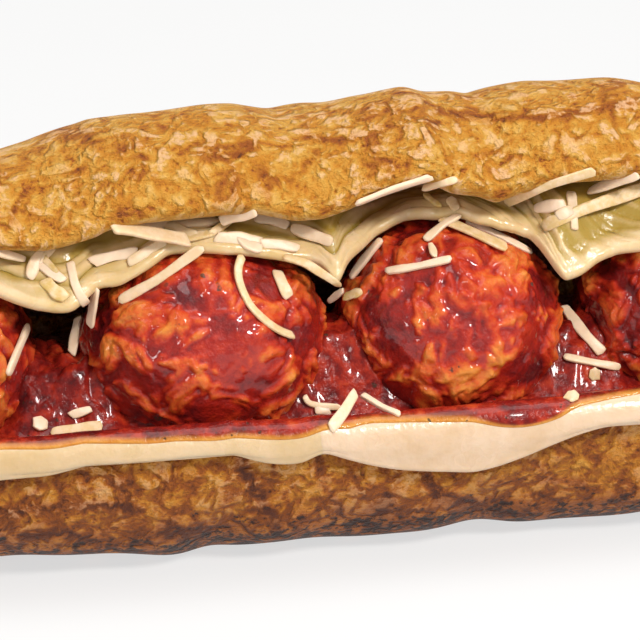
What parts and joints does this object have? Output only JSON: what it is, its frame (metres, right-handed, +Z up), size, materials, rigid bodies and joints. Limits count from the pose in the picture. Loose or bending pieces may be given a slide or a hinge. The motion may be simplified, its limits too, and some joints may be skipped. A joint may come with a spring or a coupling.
{
  "type": "submarine sandwich",
  "caption": "Open-fronted submarine sandwich: a crusty roll hinged at the back, filled with meatballs in tomato sauce, draped with melted cheese slices and shreds.",
  "frame": {"origin": "on the table, under the middle of the sandwich's bounding box", "axes": "+X along the roll, -Y out of the open front where the filling shows, +Z up"},
  "size_m": [0.19, 0.0686, 0.0666],
  "materials": {
    "crust": null,
    "meatball": null,
    "sauce": null,
    "cheese": null
  },
  "bodies": {
    "root": {"roll": "crust", "meatball_1": "meatball", "meatball_2": "meatball", "meatball_3": "meatball", "meatball_4": "meatball", "sauce": "sauce", "cheese_lower_1": "cheese", "cheese_lower_2": "cheese", "cheese_upper_1": "cheese", "cheese_upper_2": "cheese", "cheese_upper_3": "cheese", "cheese_upper_4": "cheese"}
  },
  "joints": []
}
